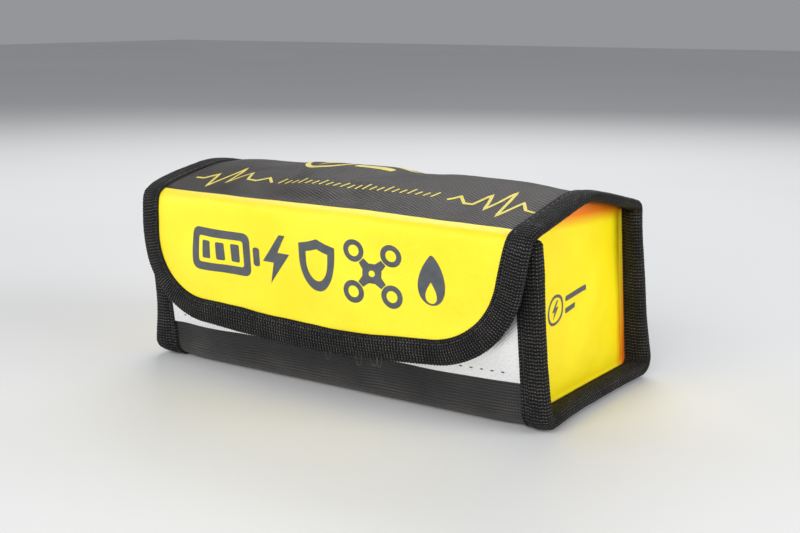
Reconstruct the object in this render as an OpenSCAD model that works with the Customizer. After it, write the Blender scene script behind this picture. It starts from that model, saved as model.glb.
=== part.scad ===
// Fire-resistant storage bag for small drone batteries, closed and empty.
// One padded wrap forms the front, base and back, with a lid and a tuck-down flap, and two
// recessed end panels are sewn in with bound seams that stand out as rims.
// X runs along the bag, Y from front to back, Z up. The bag rests on its rims at Z = 0.

/* [Body] */
// Length between the outer faces of the end panels
body_l = 121; // [100:1:180]
// Depth of the base from front to back
base_d = 63.9; // [55:0.1:80]
// Height of the front wall's top edge
front_h = 48.5; // [42:0.5:48.5]
// How far the top of the front and back walls leans forward of the base
lean = 6.5; // [0:0.5:8]
// Outer radius of the folds along the base
fold_r = 5; // [4:0.5:8]

/* [Lid] */
// Height of the lid's outer face at its fold to the back wall
lid_back_z = 52.5; // [52:0.1:60]
// Height of the lid's ridge before it is rounded
lid_ridge_z = 59.3; // [58:0.1:64]
// Height of the lid's outer face at the crease above the flap
crease_z = 54.3; // [53:0.1:57]
// How far the crease stands forward of the front wall's top edge
crease_out = 4.8; // [4.5:0.1:7]
// Radius of the lid's rounded ridge
ridge_r = 40; // [20:1:60]

/* [Flap] */
// Length of the flap from crease to lowest edge
flap_drop = 39.9; // [36:0.1:41]
// Rise of the flap's lower edge from its middle to its corners
flap_rise = 5.6; // [2:0.1:8]
// Inset of each lower corner from the lid's end
flap_inset = 11; // [6:0.5:16]
// Radius of the flap's lower corners
flap_corner_r = 20; // [12:1:24]
// Angle by which the flap's lower edge tucks back, in degrees
flap_tilt = 5.5; // [4:0.1:5.5]

/* [Fabric layers] */
// Thickness of the coated outer fabric
outer_t = 0.4; // [0.3:0.05:0.5]
// Thickness of the felt mid-layer
pad_t = 0.6; // [0.4:0.05:0.7]
// Thickness of the aluminised lining
lining_t = 0.25; // [0.2:0.01:0.3]

/* [Binding tape] */
// Thickness of the ribbed binding tape
tape_t = 0.55; // [0.4:0.05:0.6]
// Width of the tape on each face of a bound edge
tape_w = 7; // [6:0.5:9]

/* [Hook and loop closure] */
// Length of the hook strip and the loop strip
strip_l = 90; // [50:1:96]
// Width of the hook strip and the loop strip
strip_w = 13; // [8:1:14]
// Thickness of the hook strip
hook_t = 1.4; // [1:0.1:1.4]
// Thickness of the loop strip
loop_t = 1.5; // [1:0.1:1.6]
// Height of the lower edge of the silver facing on the front wall
facing_z = 11.9; // [8:0.1:14]

/* [Hidden] */

ply_gap = 0.02;     // air between two plies or a ply and its tape
move_gap = 0.4;     // air between parts that move past each other
arc_steps = 6;      // flats in one rounded corner
flap_middle_r = 250; // radius that rounds the middle of the flap's lower edge
thread_t = 0.25;    // how far a sewn line stands up
thread_w = 0.5;     // width of a sewn line
thread_in = 1.2;    // distance of a sewn line from the tape's inner edge
stitch_l = 1.9;     // one stitch of the facing's seam
stitch_pitch = 3;   // from one stitch to the next
seam_up = 2.5;      // height of that seam above the facing's lower edge
facing_turn = 12;   // how far the facing turns down inside the front wall
loop_down = 14.6;   // from the flap's top edge down to the loop strip
headroom = 20;      // how far a wall is carried up before the lid cuts it off

// Depths below the outer face of the wrap, ply by ply
pad_d = outer_t + ply_gap;
lining_d = pad_d + pad_t + ply_gap;
wrap_t = lining_d + lining_t;
end_lining_d = wrap_t + ply_gap;
end_pad_d = end_lining_d + lining_t + ply_gap;
end_outer_d = end_pad_d + pad_t + ply_gap;
rim_t = end_outer_d + outer_t;
tape_out = ply_gap + tape_t;

// Positions along X
end_x = body_l / 2;
rim_x = end_x + tape_w;
edge_x = rim_x - tape_out;
rim_tape_x = end_x + 0.1;
lid_tape_x = end_x + move_gap;

// The side profile in Y and Z, before it is centred. It runs anticlockwise, with the inside
// of the bag on its left.
front_top = [-lean, front_h];
front_bottom = [0, tape_out];
back_bottom = [base_d, tape_out];
lid_back = [base_d - lean, lid_back_z];
lid_ridge = [(base_d - 2 * lean - crease_out) / 2 + 1, lid_ridge_z];
crease = [-lean - crease_out, crease_z];
lid_under = wrap_t + tape_out;
back_top = [base_d - lean, lid_back_z - lid_under - move_gap];
flap_top_z = crease_z - lid_under - move_gap;

body_line = [front_top, front_bottom, back_bottom, back_top];
lid_line = [lid_back, lid_ridge, crease];

// The flap's outline in X and down from the crease, also anticlockwise
flap_line = [
    [-rim_x, 0],
    [-rim_x + flap_inset, flap_rise - flap_drop],
    [0, -flap_drop],
    [rim_x - flap_inset, flap_rise - flap_drop],
    [rim_x, 0]
];

function unit(v) = v / norm(v);
function inward(a, b) = let(u = unit(b - a)) [-u.y, u.x];
function angle_of(v) = atan2(v.y, v.x);
// Where two lines meet, each through a point with a direction
function meet(p, u, q, v) = p + u * ((q - p).x * v.y - (q - p).y * v.x) / (u.x * v.y - u.y * v.x);

// The arc that rounds corner b between a and c, moved inward by d
function corner(a, b, c, r, d) =
    let(
        n1 = inward(a, b),
        n2 = inward(b, c),
        centre = meet(b + n1 * r, b - a, b + n2 * r, c - b),
        a1 = angle_of(-n1),
        turn = (angle_of(-n2) - a1 + 360) % 360
    )
    [for (i = [0 : arc_steps]) let(t = a1 + turn * i / arc_steps)
        centre + (r - d) * [cos(t), sin(t)]];

// An open line with its corners rounded by radii, moved inward by d
function rounded(line, radii, d) =
    let(last = len(line) - 1)
    concat(
        [line[0] + d * inward(line[0], line[1])],
        [for (i = [1 : last - 1]) each corner(line[i - 1], line[i], line[i + 1], radii[i - 1], d)],
        [line[last] + d * inward(line[last - 1], line[last])]
    );

function reversed(list) = [for (i = [len(list) - 1 : -1 : 0]) list[i]];
function body_path(d) = rounded(body_line, [fold_r, fold_r], d);
function lid_path(d) = rounded(lid_line, [ridge_r], d);
function flap_path(d) = rounded(flap_line, [flap_corner_r, flap_middle_r, flap_corner_r], d);
function strip(outer, inner) = concat(outer, reversed(inner));

// A point on the front wall, down from its top edge and inward from its outer face
function on_front(down, d) =
    let(u = unit(front_bottom - front_top))
    front_top + down * u + d * inward(front_top, front_bottom);

// The bag is centred on its box: the flap's tape is foremost and the base fold rearmost
foremost = crease.x - tape_out * cos(flap_tilt);
fold_centre = meet(
    back_bottom + fold_r * inward(front_bottom, back_bottom), [1, 0],
    back_bottom + fold_r * inward(back_bottom, back_top), back_top - back_bottom
);
rearmost = fold_centre.x + fold_r + tape_out;
centre_y = (foremost + rearmost) / 2;

// Where the fabric folds: the lid about the bag's back edge and the flap about the crease
lid_fold = lid_back + [tape_out, tape_out];
flap_fold = crease + [-tape_out, tape_out];
echo(lid_fold_y = lid_fold.x - centre_y, lid_fold_z = lid_fold.y);
echo(flap_fold_y = flap_fold.x - centre_y, flap_fold_z = flap_fold.y);

// Extrudes a side profile from x1 to x2
module along(x1, x2) {
    translate([x1, -centre_y, 0]) rotate([90, 0, 90]) linear_extrude(x2 - x1) children();
}

// Puts an outline on the hanging flap, between two depths below its outer face, and cuts it
// off square along the crease
module on_flap(d1, d2) {
    translate([0, crease.x - centre_y, flap_top_z])
        rotate([90 + flap_tilt, 0, 0])
            translate([0, 0, -d2]) linear_extrude(d2 - d1) intersection() {
                children();
                translate([-rim_x, -flap_drop]) square([2 * rim_x, flap_drop]);
            }
}

module left_side() { mirror([1, 0, 0]) children(); }

module body_ply(d, t) {
    along(-edge_x, edge_x) polygon(strip(body_path(d), body_path(d + t)));
}

module lid_ply(d, t) {
    along(-edge_x, edge_x) polygon(strip(lid_path(d), lid_path(d + t)));
}

module flap_ply(d, t) {
    on_flap(d, d + t) polygon(flap_path(tape_out));
}

// The area inside the walls at depth d, up to just under the closed lid
module end_area(d) {
    path = body_path(d);
    roof = lid_path(wrap_t + move_gap);
    intersection() {
        polygon(concat(
            [path[0] + [0, headroom]], path, [path[len(path) - 1] + [0, headroom]]));
        polygon(concat(
            roof, [[crease.x, front_bottom.y], [lid_back.x, front_bottom.y]]));
    }
}

// One ply of an end panel: a flat area with a flange turned outward along three sides.
// d is its depth below the wrap's face, and x is its outer face.
module end_ply(d, t, x) {
    along(x - t, x) end_area(d);
    along(x - t, edge_x) polygon(strip(body_path(d), body_path(d + t)));
}

// Folded tape over an edge at depths d1 to d2 of a profile, from tape_x out to the rim
module folded_tape(outer, fabric_outer, fabric_inner, inner, tape_x) {
    difference() {
        along(tape_x, rim_x) polygon(strip(outer, inner));
        along(tape_x - 1, edge_x + ply_gap) polygon(strip(fabric_outer, fabric_inner));
    }
}

module outer_wrap() { color("#1b1b1d") body_ply(0, outer_t); }
module wrap_padding() { color("#c9c4b8") body_ply(pad_d, pad_t); }
module wrap_lining() { color("#c6c9ce") body_ply(lining_d, lining_t); }

module end_panel_right() { color("#fde92c") end_ply(end_outer_d, outer_t, end_x); }
module end_panel_left() { left_side() end_panel_right(); }
module end_padding_right() {
    color("#c9c4b8") end_ply(end_pad_d, pad_t, end_x - pad_d);
}
module end_padding_left() { left_side() end_padding_right(); }
module end_lining_right() {
    color("#c6c9ce") end_ply(end_lining_d, lining_t, end_x - lining_d);
}
module end_lining_left() { left_side() end_lining_right(); }

module rim_binding_right() {
    color("#141414") folded_tape(
        body_path(-tape_out), body_path(-ply_gap),
        body_path(rim_t + ply_gap), body_path(rim_t + tape_out), rim_tape_x);
}
module rim_binding_left() { left_side() rim_binding_right(); }

module rim_thread_right() {
    d = rim_t + tape_out + ply_gap;
    x = rim_tape_x + thread_in;
    color("#2a2a2c") along(x, x + thread_w)
        polygon(strip(body_path(d), body_path(d + thread_t)));
}
module rim_thread_left() { left_side() rim_thread_right(); }

// The silver facing covers the front wall, turns over its top edge and down inside
module front_facing() {
    outside = -ply_gap - lining_t;
    inside = wrap_t + ply_gap;
    wall = norm(front_bottom - front_top);
    down = wall * (front_h - facing_z) / (front_h - front_bottom.y);
    turn_x = end_x - lining_d - lining_t - ply_gap;
    color("#d4d6da") {
        along(-end_x, end_x) polygon([
            on_front(0, outside), on_front(down, outside),
            on_front(down, -ply_gap), on_front(0, -ply_gap)]);
        along(-turn_x, turn_x) polygon([
            on_front(0, outside), on_front(0, -ply_gap), on_front(-ply_gap, -ply_gap),
            on_front(-ply_gap, inside), on_front(facing_turn, inside),
            on_front(facing_turn, inside + lining_t), on_front(-ply_gap - lining_t, inside + lining_t),
            on_front(-ply_gap - lining_t, outside)]);
    }
}

module facing_stitches() {
    outside = -2 * ply_gap - lining_t;
    row_z = facing_z + seam_up;
    down = (front_h - row_z) / unit(front_top - front_bottom).y;
    count = floor((end_x - stitch_pitch) / stitch_pitch);
    color("#8d9096") for (i = [-count : count]) {
        x = i * stitch_pitch;
        along(x - stitch_l / 2, x + stitch_l / 2) polygon([
            on_front(down - thread_w / 2, outside), on_front(down - thread_w / 2, outside - thread_t),
            on_front(down + thread_w / 2, outside - thread_t), on_front(down + thread_w / 2, outside)]);
    }
}

// The hook strip lies on the facing, opposite the loop strip on the flap
module hook_strip() {
    outside = -2 * ply_gap - lining_t;
    strip_top_z = flap_top_z - loop_down * cos(flap_tilt);
    hook_down = (front_h - strip_top_z) / unit(front_top - front_bottom).y;
    color("#101010") along(-strip_l / 2, strip_l / 2) polygon([
        on_front(hook_down, outside), on_front(hook_down, outside - hook_t),
        on_front(hook_down + strip_w, outside - hook_t), on_front(hook_down + strip_w, outside)]);
}

module lid_outer() { color("#3a3636") lid_ply(0, outer_t); }
module lid_padding() { color("#c9c4b8") lid_ply(pad_d, pad_t); }
module lid_lining() { color("#c6c9ce") lid_ply(lining_d, lining_t); }

module lid_binding_right() {
    color("#141414") folded_tape(
        lid_path(-tape_out), lid_path(-ply_gap),
        lid_path(wrap_t + ply_gap), lid_path(lid_under), lid_tape_x);
}
module lid_binding_left() { left_side() lid_binding_right(); }

module lid_thread_right() {
    d = -tape_out - ply_gap - thread_t;
    x = lid_tape_x + thread_in;
    color("#2a2a2c") along(x, x + thread_w)
        polygon(strip(lid_path(d), lid_path(d + thread_t)));
}
module lid_thread_left() { left_side() lid_thread_right(); }

module flap_outer() { color("#fdec3c") flap_ply(0, outer_t); }
module flap_padding() { color("#c9c4b8") flap_ply(pad_d, pad_t); }
module flap_lining() { color("#c6c9ce") flap_ply(lining_d, lining_t); }

module flap_binding() {
    color("#141414") difference() {
        on_flap(-tape_out, lid_under) polygon(strip(flap_path(0), flap_path(tape_w)));
        on_flap(-ply_gap, wrap_t + ply_gap)
            polygon(strip(flap_path(tape_t), flap_path(tape_w + 1)));
    }
}

module flap_thread() {
    inset = tape_w - thread_in;
    color("#2a2a2c") on_flap(lid_under + ply_gap, lid_under + ply_gap + thread_t)
        polygon(strip(flap_path(inset - thread_w), flap_path(inset)));
}

module loop_strip() {
    color("#161616") on_flap(wrap_t + ply_gap, wrap_t + ply_gap + loop_t)
        translate([-strip_l / 2, -loop_down - strip_w]) square([strip_l, strip_w]);
}

outer_wrap();
wrap_padding();
wrap_lining();
end_panel_left();
end_panel_right();
end_padding_left();
end_padding_right();
end_lining_left();
end_lining_right();
rim_binding_left();
rim_binding_right();
rim_thread_left();
rim_thread_right();
front_facing();
facing_stitches();
hook_strip();
lid_outer();
lid_padding();
lid_lining();
lid_binding_left();
lid_binding_right();
lid_thread_left();
lid_thread_right();
flap_outer();
flap_padding();
flap_lining();
flap_binding();
flap_thread();
loop_strip();
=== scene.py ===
"""Looks of a small padded storage bag for drone batteries, built around its CAD frame.

Lengths are in millimetres until a mesh is made. A point of the bag is (x, s, d) on its flat
pattern: x runs along the bag, s runs along the side profile (down the front wall from its top
edge, under the base, up the back, over the lid and down the flap), and d is the depth below
the outer face of the cloth. place() folds such points into the bag.
"""
import math

import bmesh
import bpy
import numpy as np
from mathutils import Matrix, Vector, noise
from mathutils.geometry import delaunay_2d_cdt


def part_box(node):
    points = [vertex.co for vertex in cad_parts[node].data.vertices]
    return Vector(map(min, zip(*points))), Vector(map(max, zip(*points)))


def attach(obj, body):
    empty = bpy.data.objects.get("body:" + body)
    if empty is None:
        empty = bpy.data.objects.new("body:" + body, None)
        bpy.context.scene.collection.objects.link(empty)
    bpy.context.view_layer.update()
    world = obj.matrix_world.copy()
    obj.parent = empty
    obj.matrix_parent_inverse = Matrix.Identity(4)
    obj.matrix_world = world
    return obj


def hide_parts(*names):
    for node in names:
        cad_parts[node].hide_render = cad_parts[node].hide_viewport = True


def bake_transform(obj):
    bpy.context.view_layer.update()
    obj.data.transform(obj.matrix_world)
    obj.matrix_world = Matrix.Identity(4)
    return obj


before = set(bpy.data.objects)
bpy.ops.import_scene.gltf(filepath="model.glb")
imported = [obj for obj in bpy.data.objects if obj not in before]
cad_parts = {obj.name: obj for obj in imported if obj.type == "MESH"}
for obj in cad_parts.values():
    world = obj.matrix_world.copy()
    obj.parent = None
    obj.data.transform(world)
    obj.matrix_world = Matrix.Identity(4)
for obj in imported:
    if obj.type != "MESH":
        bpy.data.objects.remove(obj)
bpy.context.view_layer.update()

MM = 0.001


def box_mm(node):
    """The lowest and highest corners of a CAD node, in millimetres."""
    return [np.array(corner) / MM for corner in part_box(node)]


# ---------------------------------------------------------------- sizes, from the frame

WRAP_LOW, WRAP_HIGH = box_mm("outer_wrap")
LID_LOW, LID_HIGH = box_mm("lid_outer")
RIM_X = box_mm("rim_binding_right")[1][0]
EDGE_X = WRAP_HIGH[0]
OUTER_T, PAD_T, LINING_T, GAP = 0.4, 0.6, 0.25, 0.02
END_X = box_mm("end_panel_right")[0][0] + OUTER_T
PLY_X = EDGE_X - 0.6  # the plies end this far out, well inside the tape
TAPE_T = RIM_X - EDGE_X - GAP
PAD_D = OUTER_T + GAP
LINING_D = PAD_D + PAD_T + GAP
PLIES_T = LINING_D + LINING_T
RIM_T = 2 * PLIES_T + GAP
LEAN = 6.5  # how far the front wall's foot lies behind its top edge
FRONT_H = 48.5
BASE_D = 63.9
FOLD_R = 5.0  # of the two folds along the base
LID_BACK_R, RIDGE_R, CREASE_R = 3.0, 40.0, 2.6
CREASE_Z, LID_BACK_Z, RIDGE_Z = 54.3, 52.5, 59.3
FLAP_TILT = math.radians(5.5)
FLAP_TOP_Z = box_mm("flap_outer")[1][2]
FLAP_DROP = 39.9
BENT_EDGE = math.radians(48)  # faces that meet more sharply than this are shaded apart


# ---------------------------------------------------------------- the folded pattern

def unit(v):
    return v / np.linalg.norm(v)


def headings(line):
    """The direction of a line at each of its points."""
    ahead = np.gradient(line, axis=0)
    return ahead / np.linalg.norm(ahead, axis=1)[:, None]


def noise_at(a, b, seed):
    """Smooth noise from -1 to 1 at each pair of values."""
    return np.array([noise.noise(Vector((p, q, seed))) for p, q in zip(a, b)])


def smooth(t):
    """0 below 0, 1 above 1, and a smooth step between."""
    t = np.clip(t, 0.0, 1.0)
    return t * t * (3 - 2 * t)


def rounded_line(corners, radii):
    """The points of a line through the corners, each inner corner rounded by its radius."""
    points = [corners[0]]
    for before, at, after, radius in zip(corners, corners[1:], corners[2:], radii):
        a, b = unit(before - at), unit(after - at)
        half = math.acos(a @ b) / 2
        turn = math.pi - 2 * half
        centre = at + unit(a + b) * radius / math.sin(half)
        first, last = (at + arm * radius / math.tan(half) - centre for arm in (a, b))
        steps = max(6, math.ceil(radius * turn / 0.4))
        for i in range(steps + 1):
            t = i / steps
            mix = math.sin((1 - t) * turn) * first + math.sin(t * turn) * last
            points.append(centre + mix / math.sin(turn))
    points.append(corners[-1])
    return np.array(points)


def along_line(points, step):
    """The same line with its points a step apart, and the distance along it of each."""
    far = np.concatenate([[0], np.cumsum(np.linalg.norm(np.diff(points, axis=0), axis=1))])
    at = np.linspace(0, far[-1], max(2, round(far[-1] / step) + 1))
    return np.stack([np.interp(at, far, points[:, k]) for k in range(points.shape[1])], axis=1), at


LEAD = 6.0  # the pattern runs on this far past both its ends
CREASE_Y = LID_LOW[1] - math.tan(FLAP_TILT) * (CREASE_Z - FLAP_TOP_Z)
FLAP_DOWN = np.array([math.sin(FLAP_TILT), -math.cos(FLAP_TILT)])
FRONT_TOP = np.array([WRAP_LOW[1], FRONT_H])
FRONT_BOTTOM = FRONT_TOP + np.array([LEAN, WRAP_LOW[2] - FRONT_H])
BACK_BOTTOM = FRONT_BOTTOM + np.array([BASE_D, 0])
BACK_TOP = np.array([LID_HIGH[1] - 0.1, LID_BACK_Z])
RIDGE = np.array([(LID_LOW[1] + LID_HIGH[1]) / 2 + 1.0, RIDGE_Z])
CREASE = np.array([CREASE_Y, CREASE_Z])
CORNERS = [
    FRONT_TOP - LEAD * unit(FRONT_BOTTOM - FRONT_TOP), FRONT_BOTTOM, BACK_BOTTOM, BACK_TOP,
    RIDGE, CREASE, CREASE + FLAP_DOWN * (FLAP_DROP + CREASE_Z - FLAP_TOP_Z + LEAD)]
LINE, LINE_S = along_line(rounded_line(CORNERS, [FOLD_R, FOLD_R, LID_BACK_R, RIDGE_R, CREASE_R]), 0.1)
LINE_S = LINE_S - LEAD
TANGENT = headings(LINE)
INWARD = np.stack([-TANGENT[:, 1], TANGENT[:, 0]], axis=1)


def profile_at(s, depth):
    """The places Y and Z of the profile's points s, that deep under the cloth's outer face."""
    return np.stack([np.interp(s, LINE_S, LINE[:, k] + depth * INWARD[:, k]) for k in (0, 1)], axis=1)


def s_near(point):
    """How far along the profile the place nearest to a point in Y and Z is."""
    return float(LINE_S[np.linalg.norm(LINE - point, axis=1).argmin()])


S_FRONT_FOLD = s_near(FRONT_BOTTOM)
S_BACK_FOLD = s_near(BACK_BOTTOM)
S_LID = s_near(BACK_TOP)
S_RIDGE = s_near(RIDGE)
S_CREASE = s_near(CREASE)
S_END = float(LINE_S[-1]) - LEAD
S_WRAP_END = S_LID - 5.0  # the wrap's cloth ends in a seam near the top of the back wall
S_FLAP_CLOTH = S_CREASE - 6.0  # the flap's cloth starts this side of the crease
S_PRINT = S_CREASE - 4.6  # the yellow print starts here

# A map of how far the cloth stands out of its folded pattern, one value a millimetre
RELIEF_X = np.arange(-72.0, 72.1, 1.0)
RELIEF_S = np.arange(-LEAD, S_END + LEAD + 1.0, 1.0)


def ripple(x, s, size, seed):
    """Smooth noise from -1 to 1 over a map, size millimetres from hill to hill."""
    return np.array([[noise.noise(Vector((a / size[0], b / size[1], seed))) for a in x] for b in s])


def panel(low, high, power=0.7):
    """A crown over the map between two places along the profile, 0 at the rims."""
    along = np.clip((RELIEF_S - low) / (high - low), 0, 1)
    across = np.clip((END_X - np.abs(RELIEF_X)) / END_X, 0, 1)
    return np.outer(np.sin(math.pi * along) ** power, np.sin(math.pi / 2 * across) ** power)


def make_relief():
    """The cloth's crowns, waves and puckers, in millimetres outward."""
    relief = 0.7 * panel(0, S_FRONT_FOLD)
    relief += 0.3 * panel(S_FRONT_FOLD, S_BACK_FOLD)
    relief += 1.0 * panel(S_BACK_FOLD, S_LID)
    relief += 1.9 * panel(S_LID, S_CREASE) * smooth((S_CREASE - RELIEF_S) / 22)[:, None]
    relief += 0.6 * panel(S_CREASE, S_END)
    inside = smooth((END_X - 1 - np.abs(RELIEF_X)) / 10)[None, :]
    relief += 0.6 * inside * np.exp(-(((RELIEF_S - S_FRONT_FOLD) / 9) ** 2))[:, None]
    relief += 0.35 * inside * ripple(RELIEF_X, RELIEF_S, (34, 21), 3.1)
    relief += 0.12 * inside * ripple(RELIEF_X, RELIEF_S, (11, 9), 8.7)
    return relief


def grid_faces(rows, columns, around=False):
    """Quads of a grid of points, row by row. around joins the last column to the first."""
    last = columns if around else columns - 1
    r, c = (a.ravel() for a in np.meshgrid(np.arange(rows - 1), np.arange(last), indexing="ij"))
    here, ahead = r * columns, (c + 1) % columns
    return np.stack([here + c, here + ahead, here + columns + ahead, here + columns + c], axis=1)


def seam_lines(x, s):
    """Where the flat cloth is held: its seams at both rims, its folds and its ends."""
    held = (np.abs(x) > END_X - 1.5) | (s < 1.5) | (s > S_END - 8)
    for fold, reach in ((S_FRONT_FOLD, 3), (S_BACK_FOLD, 3), (S_LID, 3), (S_CREASE, 6)):
        held |= np.abs(s - fold) < reach
    corner = np.hypot(np.maximum(np.abs(x) - 32, 0), np.maximum(s - (S_END - 36), 0))
    return held | ((s > S_CREASE) & (corner > 28))


def settled_cloth():
    """Simulates the cloth a little larger than its seams allow, and gives how it puckers in mm.

    The whole flat pattern is one sheet, ten times its size, held along its seams and folds.
    """
    step, scale, highest = 2.2, 0.01, 0.6
    xs = np.arange(-66, 66.1, step)
    ss = np.arange(0, S_END, step)
    s, x = (a.ravel() for a in np.meshgrid(ss, xs, indexing="ij"))
    start = noise_at(x / 19, s / 14, 5.5) + 0.5 * noise_at(x / 8, s / 9, 1.5)
    held = seam_lines(x, s)
    start[held] = 0
    points = np.stack([x, s, start], axis=1) * scale
    mesh = bpy.data.meshes.new("settling")
    mesh.from_pydata(points.tolist(), [], grid_faces(len(ss), len(xs)).tolist())
    sheet = bpy.data.objects.new("settling", mesh)
    bpy.context.scene.collection.objects.link(sheet)
    group = sheet.vertex_groups.new(name="held")
    group.add([int(i) for i in np.nonzero(held)[0]], 1.0, "REPLACE")
    cloth = sheet.modifiers.new("settle", "CLOTH")
    settings = cloth.settings
    settings.quality = 6
    settings.mass = 0.25
    settings.tension_stiffness = settings.compression_stiffness = 25
    settings.shear_stiffness = 12
    settings.bending_stiffness = 1.2
    settings.air_damping = 3
    settings.vertex_group_mass = "held"
    settings.shrink_min = -0.007
    settings.effector_weights.gravity = 0
    scene = bpy.context.scene
    for number in range(1, 25):
        scene.frame_set(number)
    settled = sheet.evaluated_get(bpy.context.evaluated_depsgraph_get())
    after = np.empty(len(points) * 3, np.float32)
    settled.data.vertices.foreach_get("co", after)
    scene.frame_set(1)
    bpy.data.objects.remove(sheet)
    bpy.data.meshes.remove(mesh)
    height = after.reshape(-1, 3)[:, 2].reshape(len(ss), len(xs)) / scale
    height = highest * np.tanh(height / highest) * 0.8
    across = np.array([np.interp(RELIEF_X, xs, row) for row in height])
    full = np.array([np.interp(RELIEF_S, ss, column) for column in across.T]).T
    for _ in range(2):
        full = (np.roll(full, 1, 0) + 2 * full + np.roll(full, -1, 0)) / 4
        full = (np.roll(full, 1, 1) + 2 * full + np.roll(full, -1, 1)) / 4
    return full


RELIEF = make_relief()
RELIEF = RELIEF + settled_cloth()
UNDER = (RELIEF_S > S_FRONT_FOLD) & (RELIEF_S < S_BACK_FOLD)
RELIEF[UNDER] = np.minimum(RELIEF[UNDER], 0.5)  # the base rests on a flat floor


def relief(x, s):
    """The relief map at any place, between its values."""
    i = np.clip((s - RELIEF_S[0]), 0, len(RELIEF_S) - 1.001)
    j = np.clip((x - RELIEF_X[0]), 0, len(RELIEF_X) - 1.001)
    i0, j0 = i.astype(int), j.astype(int)
    a, b = i - i0, j - j0
    low = RELIEF[i0, j0] * (1 - b) + RELIEF[i0, j0 + 1] * b
    high = RELIEF[i0 + 1, j0] * (1 - b) + RELIEF[i0 + 1, j0 + 1] * b
    return low * (1 - a) + high * a


LEFT_DROOP, RIGHT_DROOP = 0.6, 1.6  # how far the two ends of the crease hang lower than the frame's


def flare(x, s):
    """How far the rims lean out at the base's folds, in at the top of the back, and up off the floor.

    Gives the three moves in X, Y and Z.
    """
    at_rim = smooth((np.abs(x) - 60) / 6)
    front, back = (np.exp(-(((s - fold) / 12) ** 2)) * at_rim for fold in (S_FRONT_FOLD, S_BACK_FOLD))
    lean = 2.0 * at_rim * smooth((x - 30) / 20) * np.exp(-(((s - S_LID + 6) / 16) ** 2))
    under = smooth((s - S_FRONT_FOLD + 8) / 10) * smooth((S_BACK_FOLD + 8 - s) / 10)
    wide = np.where(x > 0, 1.4, 2.2)
    return np.sign(x) * (wide * front + 0.8 * back), 1.2 * back - 1.2 * front - lean, 0.7 * at_rim * under


def place(x, s, d):
    """Folds points of the flat pattern into the bag. Arrays of x, s and d give an array of points."""
    x, s, d = np.broadcast_arrays(np.asarray(x, float), np.asarray(s, float), np.asarray(d, float))
    y, z = (np.interp(s, LINE_S, LINE[:, k]) for k in (0, 1))
    inward_y, inward_z = (np.interp(s, LINE_S, INWARD[:, k]) for k in (0, 1))
    deep = d - relief(x, s)
    by_crease = np.exp(-(((s - S_CREASE) / 3.5) ** 2))
    deep = deep + by_crease * (0.3 + 0.5 * smooth((np.abs(x) - 40) / 20) + 0.4 * smooth((-x - 40) / 20))
    droop = LEFT_DROOP + (RIGHT_DROOP - LEFT_DROOP) * np.clip((x + RIM_X) / (2 * RIM_X), 0, 1)
    droop = droop * smooth((s - S_RIDGE) / (S_CREASE - S_RIDGE))
    droop = droop * (1 - smooth((s - S_CREASE) / 24))
    tucked = 4.0 * smooth((-x - 30) / 36) * np.exp(-(((s - S_CREASE - 1) / 11) ** 2))
    out_x, out_y, up = flare(x, s)
    y = y + out_y + inward_y * deep
    z = z + inward_z * deep - droop + up
    return np.stack([x + tucked + out_x, y, z], axis=-1)


# ---------------------------------------------------------------- mesh helpers

def make_mesh(name, points, faces, uvs=None, material=None):
    """An object from points in millimetres. uvs hold one pair of metres for each face corner."""
    mesh = bpy.data.meshes.new(name)
    mesh.from_pydata((np.asarray(points).reshape(-1, 3) * MM).tolist(), [], faces)
    if uvs is not None:
        layer = mesh.uv_layers.new(name="pattern")
        layer.data.foreach_set("uv", np.asarray(uvs, np.float32).ravel())
    mesh.polygons.foreach_set("use_smooth", [True] * len(mesh.polygons))
    mesh.set_sharp_from_angle(angle=BENT_EDGE)
    mesh.update()
    obj = bpy.data.objects.new(name, mesh)
    bpy.context.scene.collection.objects.link(obj)
    if material is not None:
        mesh.materials.append(material)
    return obj


def facing_out(points, faces):
    """The faces of a closed mesh, turned so that they look outward."""
    points = np.asarray(points).reshape(-1, 3)
    fans = [(face[0], face[i], face[i + 1]) for face in faces for i in range(1, len(face) - 1)]
    a, b, c = (points[np.array(fans)[:, k]] for k in range(3))
    volume = np.einsum("ij,ij->i", a, np.cross(b, c)).sum()
    return faces if volume > 0 else [tuple(face)[::-1] for face in faces]


def border_edges(faces):
    """The edges that only one face uses, in that face's direction."""
    seen = {}
    for face in faces:
        for a, b in zip(face, (*face[1:], face[0])):
            if (b, a) in seen:
                del seen[(b, a)]
            else:
                seen[(a, b)] = True
    return list(seen)


def shell(name, flat, faces, top, bottom, material):
    """A closed ply. flat holds its pattern points (x, s), and top and bottom the same points folded."""
    faces = [tuple(int(i) for i in face) for face in faces]
    count = len(flat)
    under = [tuple(i + count for i in reversed(face)) for face in faces]
    sides = [(b, a, a + count, b + count) for a, b in border_edges(faces)]
    points = np.concatenate([top, bottom])
    every = facing_out(points, faces + under + sides)
    pattern = np.concatenate([flat, flat]) * MM
    corners = np.concatenate([np.array(face) for face in every])
    return make_mesh(name, points, every, pattern[corners], material)


def swept(name, rings, u, v, material):
    """A closed tube through rings of points (rows, columns, 3), with u and v its pattern in mm.

    u has a value for each row. v has one for each column and one more, where the ring closes.
    """
    rows, columns = rings.shape[:2]
    faces = [tuple(face) for face in grid_faces(rows, columns, around=True).tolist()]
    faces += [tuple(range(columns))[::-1], tuple(range((rows - 1) * columns, rows * columns))]
    points = rings.reshape(-1, 3)
    faces = facing_out(points, faces)
    corners = []
    for face in faces:
        around = [i % columns for i in face]
        closing = len(face) == 4 and max(around) - min(around) > 1
        for i, column in zip(face, around):
            last = closing and column == 0
            corners.append((u[i // columns] * MM, v[columns if last else column] * MM))
    return make_mesh(name, points, faces, corners, material)


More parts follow.
